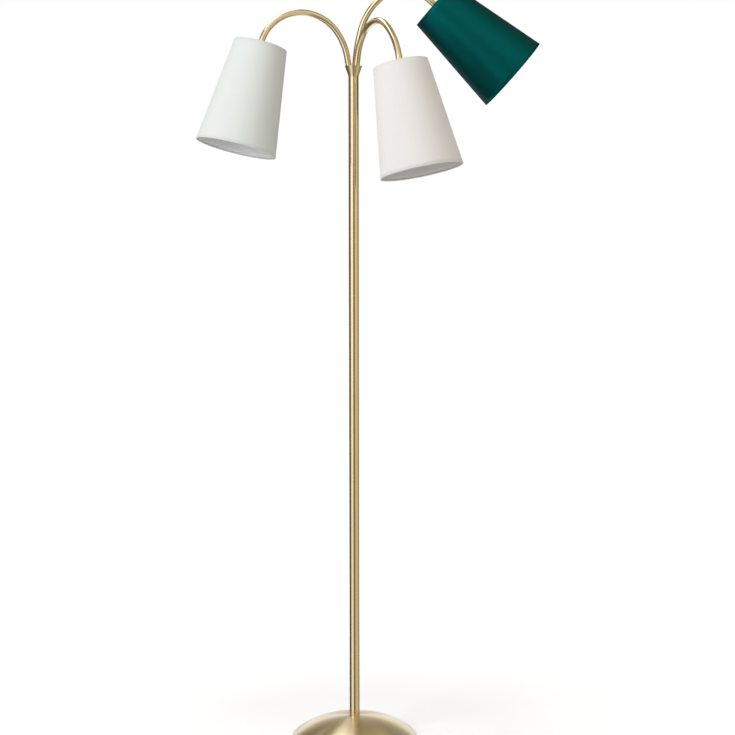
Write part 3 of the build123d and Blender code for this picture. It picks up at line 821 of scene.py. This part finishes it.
# Where the cloth's ends lap behind the shade: a strip with its edge turned under, standing just proud
def lapSeam(name, placing, back, material, pattern):
    points, faces, corners = [], [], []
    rows, columns, inset = lap["rows"], lap["columns"], shade["endInset"]
    for layer in (lap["proud"], -lap["sunk"]):
        for row in range(rows + 1):
            height = -inset - (shade["height"] - 2 * inset) * row / rows
            for column in range(columns + 1):
                rise = layer if 0 < column < columns else min(layer, lap["edge"])
                radius = coneRadius(height, -rise)
                turn = back + (column / columns - 0.5) * lap["width"] * mm / radius
                spot = Vector((radius * math.cos(turn), radius * math.sin(turn), height * mm))
                points.append(placing @ spot)
                corners.append(pattern(turn, height * mm))
    across = columns + 1
    inner = (rows + 1) * across
    for row in range(rows):
        for column in range(columns):
            first = row * across + column
            outer = (first, first + across, first + across + 1, first + 1)
            faces += [outer, tuple(inner + corner for corner in reversed(outer))]
        start, stop = row * across, (row + 1) * across
        for first, after in ((start, stop), (stop + columns, start + columns)):
            faces.append((first, first + inner, after + inner, after))
    low = rows * across
    for column in range(columns):
        for first, after in ((column + 1, column), (low + column, low + column + 1)):
            faces.append((first, first + inner, after + inner, after))
    made = meshObject(name, points, faces, material)
    layer = made.data.uv_layers.new(name="cloth")
    for loop, spot in zip(made.data.loops, layer.data):
        spot.uv = corners[loop.vertex_index]
    return made


# The flat cloth is a ring sector.
around, bottom, inset = shade["around"], -shade["height"], shade["endInset"]
for side in sides:
    placing = heads[side]
    toCamera = placing.to_3x3().inverted() @ Vector((0, -1, 0))
    front = math.atan2(toCamera.y, toCamera.x)
    pattern = conePattern(front)
    clothFinish = makeCloth(f"{side}Cloth", **cloths[side])
    wall = coneWall(0.0, shade["cloth"], 0.0, bottom)
    cloth = lathe(f"{side}ShadeCloth", wall, placing, around, clothFinish, pattern)
    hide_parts(f"{side}_shade")
    linerFinish = plainFinish(f"{side}Liner", *linerTones[side], **linerLook)
    outer, inner = shade["cloth"] + shade["glueGap"], shade["cloth"] + shade["liner"]
    lining = coneWall(outer, inner, -inset, inset + bottom)
    liner = lathe(f"{side}ShadeLiner", lining, placing, around, linerFinish)
    topHem = lathe(f"{side}HemTop", hemProfile(0.0, -1), placing, around, clothFinish, pattern)
    bottomHem = lathe(f"{side}HemBottom", hemProfile(bottom, 1), placing, around, clothFinish, pattern)
    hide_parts(f"{side}_bottom_hoop")
    seam = lapSeam(f"{side}Seam", placing, front + math.pi, clothFinish, pattern)
    for piece in (cloth, topHem, bottomHem, liner, seam):
        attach(piece, f"{side}_head")
    print(side, "shade covered")

# Felt under the base, a disc with softened edges; sizes in mm
felt = {"radius": 117.0, "thickness": 1.5, "edge": 0.35, "middle": 0.001, "around": 96}
feltLook = {
    "dark": (0.012, 0.012, 0.012, 1), "light": (0.05, 0.05, 0.05, 1),
    "fibres": 1800.0, "detail": 5.0, "fluff": 0.7, "depth": 0.15,
    "roughness": 0.95, "sheen": 0.3,
}
feltMaterial, feltTree, feltShader = newMaterial("blackFelt")
feltNoise = (feltLook["fibres"], feltLook["detail"], feltLook["fluff"])
feltFibres = noise(feltTree, objectPlace(feltTree), *feltNoise)
feltTone = blendColour(feltTree, feltFibres, feltLook["dark"], feltLook["light"])
wire(feltTree, feltShader.inputs["Base Color"], feltTone)
wire(feltTree, feltShader.inputs["Normal"], bump(feltTree, feltFibres, feltLook["depth"] * mm))
feltShader.inputs["Roughness"].default_value = feltLook["roughness"]
feltShader.inputs["Sheen Weight"].default_value = feltLook["sheen"]
rim = felt["radius"]
edge, top = felt["edge"], felt["thickness"]
feltProfile = [
    (felt["middle"], 0.0), (rim - edge, 0.0), (rim, edge),
    (rim, top - edge), (rim - edge, top), (felt["middle"], top),
]
feltLoop = [(radius * mm, height * mm) for radius, height in feltProfile]
feltPad = lathe("feltPad", feltLoop, Matrix.Identity(4), felt["around"], feltMaterial)
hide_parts("base_felt")
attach(feltPad, "stand")
print("felt laid")
